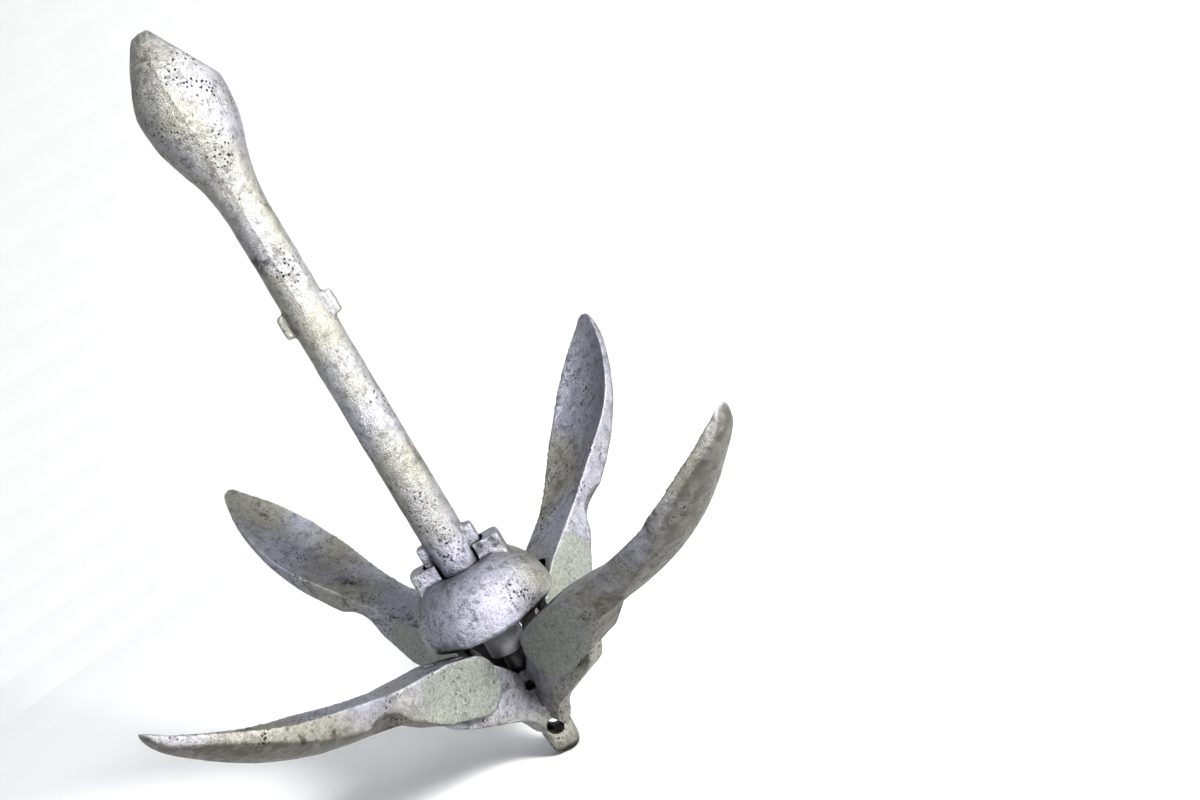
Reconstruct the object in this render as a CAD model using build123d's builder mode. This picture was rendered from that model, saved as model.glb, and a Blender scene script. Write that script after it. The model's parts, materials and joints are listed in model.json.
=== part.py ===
"""Folding grapnel anchor: an eyed shank, a sliding locking collar and four hinged flukes on a cast crown.

Millimetres, +Z up the shank. The origin is where the two trip-line holes cross in the crown's tail.
The flukes are drawn folded, in a plane through the shank, then opened about their pins.
"""

import os
from math import asin, atan2, cos, hypot, radians, sin, sqrt

from build123d import *

# Shank
SHANK_R = 11.0
SHANK_FOOT = 58.5
SHANK_TOP = 384.0
BULB_START = 280.0
BULB_POINTS = [(14.4, 308.0), (20.6, 326.6), (22.9, 346.0), (20.4, 364.0), (13.4, 378.0)]
EYE_R = 11.2
EYE_Z = 363.5
EYE_FACET = [(3.0, 385.6), (22.8, 349.0)]
PARTING_RIDGE = 0.4
LUG_R = 15.3
LUG_WIDTH = 9.0
LUG_ROUND = 1.4
LOWER_LUG = (89.7, 105.5)
UPPER_LUG = (223.5, 236.0)
SPIGOT_R = 5.75
SPIGOT_END = 14.0
SPIGOT_GAP = 0.5
FIT = 0.05

# Spacer ring on the spigot
RING_R = 10.0
RING_SPAN = (41.5, 58.0)
RING_CHAMFER = 0.6

# Locking collar
COLLAR_RIM = 60.2
COLLAR_TOP = 88.5
COLLAR_CEILING = 82.5
COLLAR_BORE_R = 12.0
DOME = [(19.0, COLLAR_TOP), (30.4, 78.2), (34.6, 63.4)]
LIP = [(34.2, 61.0), (32.8, COLLAR_RIM)]
CAVITY = [(31.0, COLLAR_RIM), (30.0, 65.0), (25.2, 76.6), (16.5, COLLAR_CEILING)]
KEYWAY_R = 15.9
KEYWAY_WIDTH = 10.4
EAR_R = 24.5
EAR_WIDTH = 14.0
EAR_HEIGHT = 7.5
EAR_ROUND = 1.8

# Crown
BLOCK_SIDE = 14.0
BLOCK_SPAN = (11.0, 32.0)
TONGUE_THICKNESS = 10.5
TONGUE_R = 19.0
TONGUE_TOP_R = 14.0
TONGUE_SHOULDER = (46.5, 57.6)
TONGUE_ROOT = (7.0, 31.5)
TONGUE_HEEL = (20.0, 13.0)
TONGUE_WEB = [(13.2, 7.6), (9.7, 0.0)]
TAIL_SIDE = 17.0
TAIL_TIP_SIDE = 14.5
TAIL_CORNER = 3.5
TAIL_TIP_CORNER = 6.0
TAIL_TIP_ROUND = 5.0
TAIL_TIP = -15.0
TRIP_HOLE_R = 4.0
CROSS_PIN_R = 2.1
CROSS_PIN_Z = 23.5
CROSS_PIN_LENGTH = 9.0

# Hinges
HINGE_RADIUS = 36.5
HINGE_Z = 44.0
HINGE_PIN_R = 4.0
HINGE_PIN_LENGTH = 24.4
PIN_CHAMFER = 0.3

# Flukes, drawn folded against the shank: side view (radius, height), front view (half width, height)
FORK_WIDTH = 25.0
SLOT_WIDTH = 12.5
SLOT_REACH = 20.5
CHEEK_R = 14.0
ROOT_INNER = [(23.6, 60.0), (36.6, 122.0)]
ROOT_OUTER = [(43.0, 112.0), (44.6, 86.0), (50.5, 64.5)]
CREST = [(46.6, 76.0), (46.4, 90.0), (49.0, 124.0), (46.6, 160.0), (37.4, 193.0), (32.0, 204.5)]
FLUKE_TIP = (24.5, 210.5)
HOLLOW = [(30.5, 193.0), (36.0, 170.0), (38.2, 150.0), (36.4, 128.0), (34.0, 105.0), (30.0, 76.0)]
LEAF_SIDE = [(11.0, 76.0), (13.0, 95.0), (15.0, 112.0), (19.6, 152.0)]
LEAF_POINT = (5.4, 206.0)
LEAF_NOSE = (3.6, 209.2)
LEAF_SWEEP = 90.0
BACK_AXIS = 19.0
BLANK_R = 60.0
SCOOP_R = 18.0
SCOOP = (54.5, 22.0, 97.0)

# Each fluke's bearing about the shank and how far it hangs open from folded, degrees
FLUKES = {
    "front_right": (-45.0, 63.5),
    "front_left": (-135.0, 65.0),
    "back_left": (135.0, 48.0),
    "back_right": (45.0, 55.0),
}

HINGE = Vector(HINGE_RADIUS, 0, HINGE_Z)


def tangent_point(start, centre, radius, side):
    """Where the line from start touches the circle, on its left (side 1) or right (side -1)."""
    gap = hypot(centre[0] - start[0], centre[1] - start[1])
    reach = sqrt(gap**2 - radius**2)
    heading = atan2(centre[1] - start[1], centre[0] - start[0]) + side * asin(radius / gap)
    return (start[0] + reach * cos(heading), start[1] + reach * sin(heading))


def on_circle(centre, radius, angle):
    """A point on a circle, by its angle in degrees."""
    return (centre[0] + radius * cos(radians(angle)), centre[1] + radius * sin(radians(angle)))


def circles(edges, radius):
    """The circular edges of one radius."""
    return edges.filter_by(GeomType.CIRCLE).filter_by(lambda edge: abs(edge.radius - radius) < FIT / 2)


def shank_outline(grow=0.0, low=SHANK_FOOT):
    """Half outline of the round shank and its bulb."""
    with BuildSketch() as outline:
        with BuildLine():
            side = Line((SHANK_R + grow, low), (SHANK_R + grow, BULB_START))
            bulb = [(r + grow, z) for r, z in BULB_POINTS]
            cap = Spline([side @ 1, *bulb, (0, SHANK_TOP + grow)], tangents=[(0, 1), (-1, 0)])
            Polyline(cap @ 1, (0, low), side @ 0)
        make_face()
    return outline.sketch


def make_shank():
    """Forged bar with a bored bulb for an eye, two pairs of lugs and a reduced spigot."""
    profile = shank_outline()
    ridge = shank_outline(PARTING_RIDGE, UPPER_LUG[1])
    with BuildPart() as shank:
        with BuildSketch(Plane.XZ):
            add(profile)
        revolve(axis=Axis.Z)
        with BuildSketch(Plane.YZ):
            add(ridge)
            mirror(about=Plane.YZ)
        extrude(amount=PARTING_RIDGE, both=True)
        for low, high in (LOWER_LUG, UPPER_LUG):
            with BuildSketch(Plane.XY.offset(low)):
                Circle(LUG_R)
                Rectangle(2 * LUG_R, LUG_WIDTH, mode=Mode.INTERSECT)
            extrude(amount=high - low)
        fillet(circles(shank.edges(), LUG_R), LUG_ROUND)
        with BuildSketch(Plane.XZ):
            with BuildLine():
                Polyline(*EYE_FACET, (2 * SHANK_R + LUG_R, EYE_FACET[0][1]), close=True)
            make_face()
            mirror(about=Plane.YZ)
        extrude(amount=2 * SHANK_R + LUG_R, both=True, mode=Mode.SUBTRACT)
        with BuildSketch(Plane.YZ):
            with Locations((0, EYE_Z)):
                Circle(EYE_R)
        extrude(amount=2 * SHANK_R + LUG_R, both=True, mode=Mode.SUBTRACT)
        with BuildSketch(Plane.XY.offset(SPIGOT_END)):
            Circle(SPIGOT_R)
        extrude(amount=SHANK_FOOT - SPIGOT_END)
        with BuildSketch(Plane.XZ):
            with Locations((0, CROSS_PIN_Z)):
                Circle(CROSS_PIN_R + FIT)
        extrude(amount=SHANK_R, both=True, mode=Mode.SUBTRACT)
    return shank


def make_ring():
    """Plain spacer ring between the shank's foot and the crown."""
    low, high = RING_SPAN
    with BuildPart() as ring:
        with BuildSketch(Plane.XY.offset(low)):
            Circle(RING_R)
            Circle(SPIGOT_R + FIT, mode=Mode.SUBTRACT)
        extrude(amount=high - low)
        chamfer(circles(ring.edges(), RING_R), RING_CHAMFER)
    return ring


def make_collar():
    """Hollow dome with a keyed bore and two raised ears outside the keyways."""
    ear_top = COLLAR_TOP + EAR_HEIGHT
    with BuildPart() as collar:
        with BuildSketch(Plane.XZ):
            with BuildLine():
                flat = Line((COLLAR_BORE_R, COLLAR_TOP), DOME[0])
                dome = ThreePointArc(*DOME)
                lip = ThreePointArc(dome @ 1, *LIP)
                foot = Line(lip @ 1, CAVITY[0])
                wall = Line(foot @ 1, CAVITY[1])
                cup = ThreePointArc(wall @ 1, *CAVITY[2:])
                ceiling = Line(cup @ 1, (COLLAR_BORE_R, COLLAR_CEILING))
                Line(ceiling @ 1, flat @ 0)
            make_face()
        revolve(axis=Axis.Z)
        with BuildSketch(Plane.XY.offset(COLLAR_CEILING + FIT)):
            Circle(EAR_R)
            Rectangle(2 * EAR_R, EAR_WIDTH, mode=Mode.INTERSECT)
            Circle(COLLAR_BORE_R, mode=Mode.SUBTRACT)
        extrude(amount=ear_top - COLLAR_CEILING - FIT)
        fillet(circles(collar.edges(), EAR_R).group_by(Axis.Z)[-1], EAR_ROUND)
        with BuildSketch(Plane.XY.offset(COLLAR_RIM)):
            Circle(KEYWAY_R)
            Rectangle(2 * KEYWAY_R, KEYWAY_WIDTH, mode=Mode.INTERSECT)
            Circle(COLLAR_BORE_R)
        extrude(amount=ear_top - COLLAR_RIM, mode=Mode.SUBTRACT)
    return collar


def tongue_outline():
    """Side view of one hinge tongue, from the shank's axis out to its round end."""
    centre = (HINGE_RADIUS, HINGE_Z)
    upper = tangent_point(TONGUE_ROOT, centre, TONGUE_TOP_R, 1)
    lower = tangent_point(TONGUE_HEEL, centre, TONGUE_R, -1)
    with BuildSketch() as outline:
        with BuildLine():
            rise = Line(TONGUE_ROOT, upper)
            shoulder = ThreePointArc(rise @ 1, TONGUE_SHOULDER, on_circle(centre, TONGUE_R, 10))
            round_end = ThreePointArc(shoulder @ 1, on_circle(centre, TONGUE_R, -40), lower)
            heel = Line(round_end @ 1, TONGUE_HEEL)
            web = ThreePointArc(heel @ 1, *TONGUE_WEB)
            Polyline(web @ 1, (0, 0), (0, TONGUE_ROOT[1]), rise @ 0)
        make_face()
    return outline.sketch


def make_crown():
    """Square block with four radial hinge tongues and a drilled tail for the trip line."""
    low, high = BLOCK_SPAN
    side_view = tongue_outline()
    with BuildPart() as crown:
        with BuildSketch(Plane.XY.offset(low)):
            Rectangle(BLOCK_SIDE, BLOCK_SIDE)
        extrude(amount=high - low)
        with BuildSketch(Plane.XY.offset(low)):
            RectangleRounded(TAIL_SIDE, TAIL_SIDE, TAIL_CORNER)
        with BuildSketch(Plane.XY.offset(TAIL_TIP)):
            RectangleRounded(TAIL_TIP_SIDE, TAIL_TIP_SIDE, TAIL_TIP_CORNER)
        loft()
        fillet(crown.faces().sort_by(Axis.Z)[0].edges(), TAIL_TIP_ROUND)
        for bearing, _ in FLUKES.values():
            radial = Plane.XZ.rotated((0, 0, bearing))
            with BuildSketch(radial):
                add(side_view)
            extrude(amount=TONGUE_THICKNESS / 2, both=True)
            with BuildSketch(radial):
                with Locations((HINGE_RADIUS, HINGE_Z)):
                    Circle(HINGE_PIN_R + FIT)
            extrude(amount=FORK_WIDTH, both=True, mode=Mode.SUBTRACT)
        with BuildSketch(Plane.XY.offset(SPIGOT_END - SPIGOT_GAP)):
            Circle(SPIGOT_R + FIT)
        extrude(amount=high, mode=Mode.SUBTRACT)
        for face, height, radius in (
            (Plane.XZ, CROSS_PIN_Z, CROSS_PIN_R + FIT),
            (Plane.XZ, 0, TRIP_HOLE_R),
            (Plane.YZ, 0, TRIP_HOLE_R),
        ):
            with BuildSketch(face):
                with Locations((0, height)):
                    Circle(radius)
            extrude(amount=TAIL_SIDE, both=True, mode=Mode.SUBTRACT)
    return crown


def make_pin(radius, length, plane):
    """Straight pin centred on a plane's origin and lying along its normal."""
    with BuildPart() as pin:
        with BuildSketch(plane):
            Circle(radius)
        extrude(amount=length / 2, both=True)
        chamfer(pin.edges().filter_by(GeomType.CIRCLE), PIN_CHAMFER)
    return pin


def leaf_outline():
    """Front view of the leaf, from the fork's width to its blunt point."""
    with BuildSketch() as outline:
        with BuildLine():
            flare = Spline(LEAF_SIDE, tangents=[(0.1, 1), (0, 1)])
            ogive = TangentArc([flare @ 1, LEAF_POINT], tangent=(0, 1))
            point = ThreePointArc(ogive @ 1, LEAF_NOSE, (0, FLUKE_TIP[1]))
            Polyline(point @ 1, (0, LEAF_SIDE[0][1]), flare @ 0)
        make_face()
        mirror(about=Plane.YZ)
    return outline.sketch


def root_outline():
    """Side view of the deep root and its cheeks, from the hinge end up under the leaf."""
    centre = (HINGE_RADIUS, HINGE_Z)
    with BuildSketch() as outline:
        with BuildLine():
            inner = Line(ROOT_INNER[0], tangent_point(ROOT_INNER[0], centre, CHEEK_R, -1))
            end = ThreePointArc(inner @ 1, on_circle(centre, CHEEK_R, 270), on_circle(centre, CHEEK_R, 0))
            outer = Polyline(end @ 1, *reversed(ROOT_OUTER))
            Polyline(outer @ 1, ROOT_INNER[1], ROOT_INNER[0])
        make_face()
    return outline.sketch


def make_folded_fluke():
    """One fluke folded along the shank in the plane y = 0: curved leaf, deep root and forked cheeks."""
    front_view = leaf_outline()
    side_view = root_outline()
    radius, across, height = SCOOP
    with BuildPart() as fluke:
        with BuildSketch(Plane.XZ.rotated((0, 0, -LEAF_SWEEP / 2))):
            with BuildLine():
                hollow = Spline([FLUKE_TIP, *HOLLOW])
                Polyline(hollow @ 1, (BLANK_R, HOLLOW[-1][1]), (BLANK_R, FLUKE_TIP[1]), hollow @ 0)
            make_face()
        revolve(axis=Axis.Z, revolution_arc=LEAF_SWEEP)
        with BuildSketch(Plane.XZ):
            with BuildLine():
                crest = Spline([*CREST, FLUKE_TIP])
                Polyline(crest @ 1, (BACK_AXIS, FLUKE_TIP[1]), (BACK_AXIS, CREST[0][1]), crest @ 0)
            make_face()
        revolve(axis=Axis((BACK_AXIS, 0, 0), (0, 0, 1)), mode=Mode.INTERSECT)
        with BuildSketch(Plane.YZ):
            add(front_view)
        extrude(amount=2 * HINGE_RADIUS, mode=Mode.INTERSECT)
        with BuildSketch(Plane.XZ):
            add(side_view)
        extrude(amount=FORK_WIDTH / 2, both=True)
        with Locations((radius, across, height), (radius, -across, height)):
            Sphere(SCOOP_R, mode=Mode.SUBTRACT)
        with BuildSketch(Plane.XZ):
            with Locations((HINGE_RADIUS, HINGE_Z)):
                Circle(SLOT_REACH)
                Rectangle(FORK_WIDTH, 2 * SLOT_REACH, align=(Align.MIN, Align.CENTER))
        extrude(amount=SLOT_WIDTH / 2, both=True, mode=Mode.SUBTRACT)
        with BuildSketch(Plane.XZ):
            with Locations((HINGE_RADIUS, HINGE_Z)):
                Circle(HINGE_PIN_R + FIT)
        extrude(amount=FORK_WIDTH, both=True, mode=Mode.SUBTRACT)
    return fluke


def save(part, label):
    """Label one piece and write its STEP file."""
    part.label = label
    export_step(part, f"parts/{label}.step")


os.makedirs("parts", exist_ok=True)
save(make_shank().part, "shank")
save(make_ring().part, "spacer_ring")
save(make_collar().part, "locking_collar")
save(make_crown().part, "crown")
cross_pin_plane = Plane(origin=(0, 0, CROSS_PIN_Z), z_dir=(0, 1, 0))
save(make_pin(CROSS_PIN_R, CROSS_PIN_LENGTH, cross_pin_plane).part, "cross_pin")

hinge_plane = Plane(origin=HINGE, z_dir=(0, 1, 0))
folded_fluke = make_folded_fluke().part
hinge_pin = make_pin(HINGE_PIN_R, HINGE_PIN_LENGTH, hinge_plane).part
for place, (bearing, opening) in FLUKES.items():
    opened = folded_fluke.rotate(Axis(HINGE, (0, 1, 0)), opening)
    save(opened.rotate(Axis.Z, bearing), f"fluke_{place}")
    save(hinge_pin.rotate(Axis.Z, bearing), f"hinge_pin_{place}")
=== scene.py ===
"""Looks of the folding grapnel anchor: hot-dip galvanised castings on a pale studio floor."""
import json
from math import cos, radians, sin

import bmesh
import bpy
from mathutils import Matrix, Vector


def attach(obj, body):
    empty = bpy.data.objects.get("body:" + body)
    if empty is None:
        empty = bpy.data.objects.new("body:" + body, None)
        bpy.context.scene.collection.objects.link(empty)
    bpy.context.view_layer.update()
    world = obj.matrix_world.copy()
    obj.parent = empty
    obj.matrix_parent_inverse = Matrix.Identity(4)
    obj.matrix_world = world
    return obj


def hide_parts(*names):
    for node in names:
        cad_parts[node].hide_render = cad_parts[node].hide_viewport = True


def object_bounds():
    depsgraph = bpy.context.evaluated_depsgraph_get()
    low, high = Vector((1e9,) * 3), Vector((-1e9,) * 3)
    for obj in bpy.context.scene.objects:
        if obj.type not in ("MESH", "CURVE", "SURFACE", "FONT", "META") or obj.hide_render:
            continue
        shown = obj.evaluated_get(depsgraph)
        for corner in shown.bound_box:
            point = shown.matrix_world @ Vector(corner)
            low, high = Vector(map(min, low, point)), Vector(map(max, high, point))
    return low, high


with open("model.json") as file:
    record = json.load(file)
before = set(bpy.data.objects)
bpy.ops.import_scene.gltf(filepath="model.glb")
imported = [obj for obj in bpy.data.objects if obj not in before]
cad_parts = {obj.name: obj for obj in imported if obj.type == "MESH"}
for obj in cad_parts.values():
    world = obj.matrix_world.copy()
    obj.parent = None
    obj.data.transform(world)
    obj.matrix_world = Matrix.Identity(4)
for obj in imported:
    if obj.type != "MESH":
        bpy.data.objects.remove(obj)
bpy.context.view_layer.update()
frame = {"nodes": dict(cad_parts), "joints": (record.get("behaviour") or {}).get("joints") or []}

# Camera: where it stands, which way it looks and how far it is rolled (metres, degrees)
CAMERA_PLACE = (0.0719, -0.5854, 0.2430)
CAMERA_BEARING = 9.8
CAMERA_HEIGHT = 2.3
CAMERA_ROLL = 31.2
CAMERA_LENS = 37.0
CAMERA_SHIFT = (0.276, -0.030)

# Studio: a pale floor that sweeps up all round
FLOOR_COLOUR = (0.84, 0.84, 0.84, 1)
FLOOR_SHADE = (0.76, 0.76, 0.76, 1)
FLOOR_CENTRE = 0.02
FLOOR_RADIUS = 0.8
FLOOR_SWEEP = 2.4
FLOOR_WALL = 1.5
FLOOR_GAP = 0.0003
SWEEP_STEPS = 24
SPIN_STEPS = 96
MERGE_DISTANCE = 1e-5
WORLD_COLOUR = (0.94, 0.97, 1.0, 1)
WORLD_STRENGTH = 0.24
TONE_GAMMA = 0.62

# Soft boxes: place, target, size, power and colour
AIM = (0.0, 0.0, 0.16)
LAMPS = {
    "key": ((1.05, -1.05, 0.75), AIM, 0.35, 54, (1.0, 0.99, 0.97)),
    "fill": ((-1.2, -1.0, 0.9), AIM, 0.8, 9.0, (0.88, 0.90, 1.0)),
    "backdrop": ((0.4, 0.9, 2.2), (-0.2, 2.6, 0.6), 2.0, 30, (1.0, 1.0, 1.0)),
}

# Castings: voxel of the remeshed skin, passes that soften it, depth and size of the lumps left by the mould
CASTINGS = {
    "shank": ("shank_and_crown", 0.0008, 4, 0.0006, 0.008),
    "crown": ("shank_and_crown", 0.0006, 4, 0.0004, 0.006),
    "locking_collar": ("collar", 0.0006, 3, 0.0004, 0.008),
}
FLUKE_CAST = (0.0008, 8, 0.0006, 0.012)
LUMP_LEVEL = 0.7
SOFTEN_FACTOR = 0.5

# Flukes: each one's bearing about the shank in degrees, and where it hinges
FLUKES = {"front_right": -45, "front_left": -135, "back_left": 135, "back_right": 45}
HINGE_RADIUS = 0.0365
HINGE_HEIGHT = 0.044
FORK_WIDTH = 0.025
PIN_PLUG_RADIUS = 0.0045
PIN_PLUG_SIDES = 48

# Zinc tones, with the painted shade laid on the flukes' outward faces and into creases and recesses
COOL_ZINC = (0.43, 0.43, 0.49, 1)
WARM_ZINC = (0.38, 0.377, 0.335, 1)
# Painted shade: the darker, slightly warmer tone laid on the flukes' faces that turn outward
OUTWARD_SHADE_TONE = (0.15, 0.145, 0.122, 1)
FLAKE_TONE = (0.60, 0.60, 0.64, 1)
DULL_TONE = (0.12, 0.12, 0.11, 1)
# Dark tone for real smeared stains, and for the painted shade in creases and recesses
STAIN_AND_SHADE_TONE = (0.04, 0.036, 0.028, 1)
PIT_TONE = (0.018, 0.018, 0.018, 1)
EDGE_TONE = (0.58, 0.58, 0.60, 1)
GROUND_LIGHT = (0.38, 0.395, 0.36, 1)
GROUND_DARK = (0.26, 0.277, 0.255, 1)
# How far the painted shade in recesses reaches
SHADE_RECESS_REACH = 0.02
ROUGHNESS = (0.28, 0.46)
METALLIC = 0.85

# Zinc texture: features per metre
PATCH_SCALE = 16.0
MOTTLE_SCALE = 260.0
SPECKLE_SCALE = 900.0
FLAKE_SCALE = 300.0
SMEAR_SCALE = 60.0
PIT_SCALE = 480.0
PITTED_AREA_SCALE = 48.0
GROUND_SCALE = 700.0

# Zinc relief: depth in metres
MOTTLE_DEPTH = 0.0006
SPECKLE_DEPTH = 0.0006
PIT_DEPTH = 0.0005

# Ground cheeks: how square to the hinge a face is, how near the fork's side and the hinge it lies
CHEEK_SQUARE = 0.93
CHEEK_DEPTH = 0.0007
CHEEK_REACH = 0.036
# Painted shade on the flukes' outward faces: how strongly, and from what turn outward, a face is darkened
OUTWARD_SHADE_GAIN = 1.5
OUTWARD_SHADE_START = 0.25


def make_camera():
    """The camera stands in front of the anchor, a little to its right, and is rolled."""
    a, e, roll = radians(CAMERA_BEARING), radians(CAMERA_HEIGHT), radians(CAMERA_ROLL)
    back = Vector((sin(a) * cos(e), -cos(a) * cos(e), sin(e)))
    right = Vector((cos(a), sin(a), 0))
    level = Matrix((right, back.cross(right), back)).transposed().to_4x4()
    data = bpy.data.cameras.new("camera")
    data.lens = CAMERA_LENS
    data.shift_x, data.shift_y = CAMERA_SHIFT
    camera = bpy.data.objects.new("camera", data)
    camera.matrix_world = Matrix.Translation(CAMERA_PLACE) @ level @ Matrix.Rotation(-roll, 4, "Z")
    bpy.context.collection.objects.link(camera)
    bpy.context.scene.camera = camera


def make_light(name, place, target, size, power, colour):
    """A square soft box that faces the target."""
    data = bpy.data.lights.new(name, "AREA")
    data.size = size
    data.energy = power
    data.color = colour
    lamp = bpy.data.objects.new(name, data)
    lamp.location = place
    aim = Vector(target) - Vector(place)
    lamp.rotation_euler = aim.to_track_quat("-Z", "Y").to_euler()
    bpy.context.collection.objects.link(lamp)


class Nodes:
    """Adds and links the nodes of one material."""

    def __init__(self, name):
        self.material = bpy.data.materials.new(name)
        self.material.use_nodes = True
        self.tree = self.material.node_tree
        self.shader = self.tree.nodes["Principled BSDF"]
        self.place = self.add("ShaderNodeTexCoord").outputs["Object"]

    def add(self, kind, **settings):
        """A new node with the settings given."""
        node = self.tree.nodes.new(kind)
        for key, value in settings.items():
            setattr(node, key, value)
        return node

    def put(self, socket, value):
        """Links an output to the socket, or sets its number."""
        if isinstance(value, bpy.types.NodeSocket):
            self.tree.links.new(value, socket)
        else:
            socket.default_value = value

    def noise(self, scale, detail=4.0, rough=0.55):
        """Fractal noise, from 0 to 1."""
        node = self.add("ShaderNodeTexNoise")
        self.put(node.inputs["Vector"], self.place)
        node.inputs["Scale"].default_value = scale
        node.inputs["Detail"].default_value = detail
        node.inputs["Roughness"].default_value = rough
        return node.outputs["Fac"]

    def cells(self, scale):
        """The outputs of a cell pattern: a colour for each cell, and the distance from its centre."""
        node = self.add("ShaderNodeTexVoronoi")
        self.put(node.inputs["Vector"], self.place)
        node.inputs["Scale"].default_value = scale
        return node.outputs

    def span(self, value, low, high, start=0.0, end=1.0):
        """Maps low..high smoothly to start..end."""
        node = self.add("ShaderNodeMapRange", interpolation_type="SMOOTHSTEP")
        self.put(node.inputs["Value"], value)
        node.inputs["From Min"].default_value = low
        node.inputs["From Max"].default_value = high
        node.inputs["To Min"].default_value = start
        node.inputs["To Max"].default_value = end
        return node.outputs["Result"]

    def math(self, operation, first, second):
        """One sum on two values."""
        node = self.add("ShaderNodeMath", operation=operation)
        self.put(node.inputs[0], first)
        self.put(node.inputs[1], second)
        return node.outputs[0]

    def blend(self, amount, first, second):
        """Mixes two colours, from the first at 0 to the second at 1."""
        node = self.add("ShaderNodeMix", data_type="RGBA")
        self.put(node.inputs[0], amount)
        self.put(node.inputs[6], first)
        self.put(node.inputs[7], second)
        return node.outputs[2]

    def grey(self, colour):
        """The brightness of a colour."""
        node = self.add("ShaderNodeRGBToBW")
        self.put(node.inputs[0], colour)
        return node.outputs[0]

    def bump(self, height, depth, below=None):
        """Relief of a given depth, laid over the relief below it."""
        node = self.add("ShaderNodeBump")
        self.put(node.inputs["Height"], height)
        node.inputs["Distance"].default_value = depth
        if below is not None:
            self.put(node.inputs["Normal"], below)
        return node.outputs["Normal"]


def stain_and_pit(n, skin, mottle, speckle, pits):
    """Lays dull grain, smears and pits over the skin's colour."""
    skin = n.blend(n.span(mottle, 0.54, 0.34, 0.0, 0.42), skin, DULL_TONE)
    skin = n.blend(n.span(speckle, 0.50, 0.32, 0.0, 0.6), skin, DULL_TONE)
    smears = n.span(n.noise(SMEAR_SCALE, 7.0, 0.75), 0.55, 0.70, 0.0, 0.7)
    skin = n.blend(smears, skin, STAIN_AND_SHADE_TONE)
    return n.blend(n.math("MULTIPLY", pits, 0.75), skin, PIT_TONE)


def shade_by_shape(n, skin):
    """Paints shade into hollow corners, creases and recesses, and brightens raised edges."""
    edge = n.add("ShaderNodeNewGeometry").outputs["Pointiness"]
    # Painted shade: hollow creases, found by pointiness, are darkened
    skin = n.blend(n.span(edge, 0.495, 0.450, 0.0, 0.75), skin, STAIN_AND_SHADE_TONE)
    skin = n.blend(n.span(edge, 0.52, 0.58, 0.0, 0.5), skin, EDGE_TONE)
    # Painted shade: recesses, found by ambient occlusion, are darkened
    recess = n.add("ShaderNodeAmbientOcclusion", samples=8)
    recess.inputs["Distance"].default_value = SHADE_RECESS_REACH
    return n.blend(n.span(recess.outputs["AO"], 0.75, 0.20, 0.0, 0.95), skin, STAIN_AND_SHADE_TONE)


def zinc(name):
    """Hot-dip galvanised casting: mottled, pitted and stained, dull where ground, with painted shade in its
    creases and recesses and on the flukes' outward faces.
    """
    n = Nodes(name)
    mottle = n.noise(MOTTLE_SCALE, 6.0, 0.7)
    speckle = n.noise(SPECKLE_SCALE, 5.0, 0.75)
    spots = n.span(n.cells(PIT_SCALE)["Distance"], 0.34, 0.14)
    pits = n.math("MULTIPLY", spots, n.span(n.noise(PITTED_AREA_SCALE), 0.50, 0.62))
    ground_and_shade = n.add("ShaderNodeAttribute", attribute_name="ground_and_shade")
    sides = n.add("ShaderNodeSeparateColor")
    n.put(sides.inputs[0], ground_and_shade.outputs["Color"])
    ground, outward_shade = sides.outputs[0], sides.outputs[1]

    skin = n.blend(n.span(n.noise(PATCH_SCALE, 2.0), 0.38, 0.62), COOL_ZINC, WARM_ZINC)
    # Painted shade: the flukes' faces that turn outward are darkened, as if turned from the light
    skin = n.blend(n.math("MULTIPLY", outward_shade, 0.85), skin, OUTWARD_SHADE_TONE)
    flake = n.span(n.grey(n.cells(FLAKE_SCALE)["Color"]), 0.0, 1.0, 0.0, 0.25)
    skin = n.blend(flake, skin, FLAKE_TONE)
    skin = stain_and_pit(n, skin, mottle, speckle, pits)
    flat_face = n.blend(n.span(n.noise(GROUND_SCALE, 5.0, 0.7), 0.35, 0.65), GROUND_LIGHT, GROUND_DARK)
    skin = n.blend(n.math("MULTIPLY", ground, 0.8), skin, flat_face)
    n.put(n.shader.inputs["Base Color"], shade_by_shape(n, skin))

    dull = n.math("ADD", n.span(mottle, 0.35, 0.65, *ROUGHNESS), n.math("MULTIPLY", pits, 0.2))
    n.put(n.shader.inputs["Roughness"], n.math("ADD", dull, n.math("MULTIPLY", ground, 0.08)))
    n.shader.inputs["Metallic"].default_value = METALLIC

    relief = n.bump(mottle, MOTTLE_DEPTH)
    relief = n.bump(speckle, SPECKLE_DEPTH, relief)
    relief = n.bump(n.math("SUBTRACT", 1.0, pits), PIT_DEPTH, relief)
    n.put(n.shader.inputs["Normal"], relief)
    return n.material


def copy_mesh(name, *meshes):
    """A new object that holds copies of the meshes."""
    gathered = bmesh.new()
    for mesh in meshes:
        gathered.from_mesh(mesh)
    mesh = bpy.data.meshes.new(name)
    gathered.to_mesh(mesh)
    gathered.free()
    piece = bpy.data.objects.new(name, mesh)
    bpy.context.collection.objects.link(piece)
    return piece


def apply_modifiers(piece):
    """Keeps the mesh that the modifiers make, and drops them."""
    graph = bpy.context.evaluated_depsgraph_get()
    made = bpy.data.meshes.new_from_object(piece.evaluated_get(graph))
    piece.modifiers.clear()
    piece.data = made
    made.name = piece.name


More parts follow.
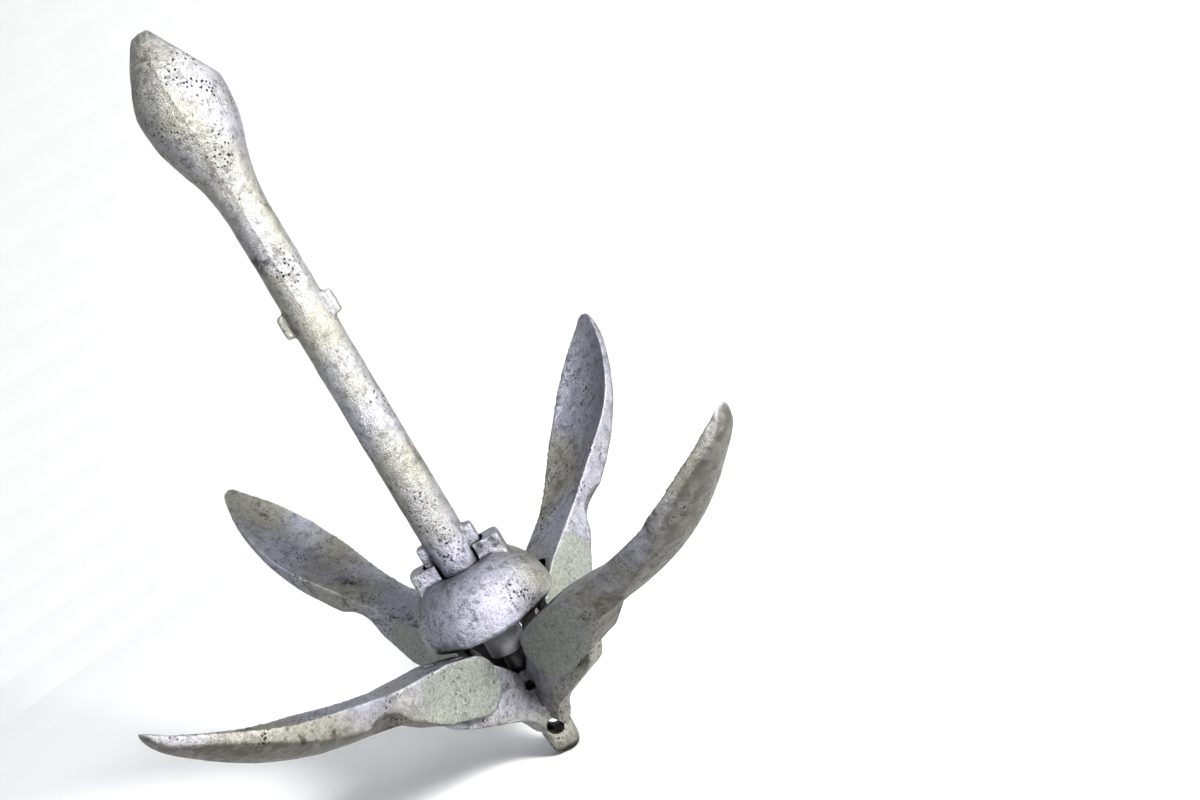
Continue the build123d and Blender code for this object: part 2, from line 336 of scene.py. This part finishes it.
def cast(node, body, voxel, passes, lump_depth, lump_size, extra=()):
    """A cast skin over a CAD node: remeshed finely, its edges softened, its faces left slightly lumpy."""
    piece = copy_mesh(node + "_skin", frame["nodes"][node].data, *extra)
    remesh = piece.modifiers.new("skin", "REMESH")
    remesh.mode = "VOXEL"
    remesh.voxel_size = voxel
    soften = piece.modifiers.new("soften", "SMOOTH")
    soften.factor = SOFTEN_FACTOR
    soften.iterations = passes
    clouds = bpy.data.textures.new(node + "_lumps", "CLOUDS")
    clouds.noise_scale = lump_size
    clouds.noise_depth = 2
    lumps = piece.modifiers.new("lumps", "DISPLACE")
    lumps.texture = clouds
    lumps.strength = lump_depth
    lumps.mid_level = LUMP_LEVEL
    apply_modifiers(piece)
    for face in piece.data.polygons:
        face.use_smooth = True
    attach(piece, body)
    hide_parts(node)
    return piece


def paint_sides(fluke, bearing, opening):
    """Stores where a fluke is ground flat (red), and how far it faces outward for its painted shade (green),
    for its material.
    """
    mesh = fluke.data
    across = Vector((-sin(radians(bearing)), cos(radians(bearing)), 0))
    outward = Vector((cos(radians(bearing)), sin(radians(bearing)), 0))
    outward.rotate(Matrix.Rotation(opening, 3, across))
    hinge = Vector((HINGE_RADIUS * cos(radians(bearing)), HINGE_RADIUS * sin(radians(bearing)), HINGE_HEIGHT))
    masks = []
    for vert in mesh.vertices:
        square = abs(vert.normal.dot(across)) > CHEEK_SQUARE
        flush = abs(abs(vert.co.dot(across)) - FORK_WIDTH / 2) < CHEEK_DEPTH
        near = (vert.co - hinge).length < CHEEK_REACH
        ground = 1.0 if square and flush and near else 0.0
        # Green: how far a face turns outward, which sets its painted shade
        outward_shade = vert.normal.dot(outward) * OUTWARD_SHADE_GAIN + OUTWARD_SHADE_START
        masks.append((ground, min(1.0, max(0.0, outward_shade))))
    layer = mesh.color_attributes.new("ground_and_shade", "FLOAT_COLOR", "POINT")
    for item, (ground, outward_shade) in zip(layer.data, masks):
        item.color = (ground, outward_shade, 0.0, 1.0)


def make_plug(bearing):
    """Fills a fluke's pin bore, because the zinc has run over the pin's ends."""
    across = Matrix.Rotation(radians(bearing), 4, "Z") @ Matrix.Translation((HINGE_RADIUS, 0, HINGE_HEIGHT))
    plug = bmesh.new()
    bmesh.ops.create_cone(
        plug,
        cap_ends=True,
        segments=PIN_PLUG_SIDES,
        radius1=PIN_PLUG_RADIUS,
        radius2=PIN_PLUG_RADIUS,
        depth=FORK_WIDTH,
    )
    plug.transform(across @ Matrix.Rotation(radians(90), 4, "X"))
    mesh = bpy.data.meshes.new("plug")
    plug.to_mesh(mesh)
    plug.free()
    return mesh


def make_floor():
    """A round pale floor whose edge sweeps up into a backdrop."""
    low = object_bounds()[0].z - FLOOR_GAP
    profile = [(FLOOR_CENTRE, low), (FLOOR_RADIUS, low)]
    for i in range(1, SWEEP_STEPS + 1):
        angle = radians(90) * i / SWEEP_STEPS
        profile.append((FLOOR_RADIUS + FLOOR_SWEEP * sin(angle), low + FLOOR_SWEEP * (1 - cos(angle))))
    profile.append((FLOOR_RADIUS + FLOOR_SWEEP, low + FLOOR_SWEEP + FLOOR_WALL))
    form = bmesh.new()
    verts = [form.verts.new((r, 0, z)) for r, z in profile]
    edges = [form.edges.new(pair) for pair in zip(verts, verts[1:])]
    bmesh.ops.spin(
        form, geom=verts + edges, cent=(0, 0, 0), axis=(0, 0, 1), angle=radians(360), steps=SPIN_STEPS
    )
    bmesh.ops.remove_doubles(form, verts=form.verts, dist=MERGE_DISTANCE)
    centre = [e for e in form.edges if e.is_boundary and e.verts[0].co.xy.length < 2 * FLOOR_CENTRE]
    bmesh.ops.contextual_create(form, geom=centre)
    mesh = bpy.data.meshes.new("studio_floor")
    form.to_mesh(mesh)
    form.free()
    floor = bpy.data.objects.new("studio_floor", mesh)
    bpy.context.collection.objects.link(floor)
    paint = Nodes("studio_paper")
    cloud = paint.span(paint.noise(3.0), 0.3, 0.7, 0.0, 0.05)
    paint.put(paint.shader.inputs["Base Color"], paint.blend(cloud, FLOOR_COLOUR, FLOOR_SHADE))
    paint.shader.inputs["Roughness"].default_value = 0.9
    paint.shader.inputs["Specular IOR Level"].default_value = 0.1
    mesh.materials.append(paint.material)


def make_world():
    """A faint even light from all round."""
    world = bpy.data.worlds.new("studio")
    world.use_nodes = True
    background = world.node_tree.nodes["Background"]
    background.inputs["Color"].default_value = WORLD_COLOUR
    background.inputs["Strength"].default_value = WORLD_STRENGTH
    bpy.context.scene.world = world


def finish_with(piece, material):
    """Gives the whole piece one material."""
    piece.data.materials.clear()
    piece.data.materials.append(material)


bpy.context.scene.view_settings.view_transform = "Standard"
bpy.context.scene.view_settings.gamma = TONE_GAMMA
make_world()
make_camera()
for name, settings in LAMPS.items():
    make_light(name, *settings)

joints = {joint["name"]: joint for joint in frame["joints"]}
cast_zinc = zinc("cast_zinc")
for node, settings in CASTINGS.items():
    finish_with(cast(node, *settings), cast_zinc)
for side, bearing in FLUKES.items():
    fluke = cast("fluke_" + side, "fluke_" + side, *FLUKE_CAST, extra=[make_plug(bearing)])
    paint_sides(fluke, bearing, radians(joints["fold_" + side]["range_deg"][1]))
    finish_with(fluke, cast_zinc)
for node in ["spacer_ring", "cross_pin"] + ["hinge_pin_" + side for side in FLUKES]:
    for slot in frame["nodes"][node].material_slots:
        slot.material = cast_zinc
make_floor()
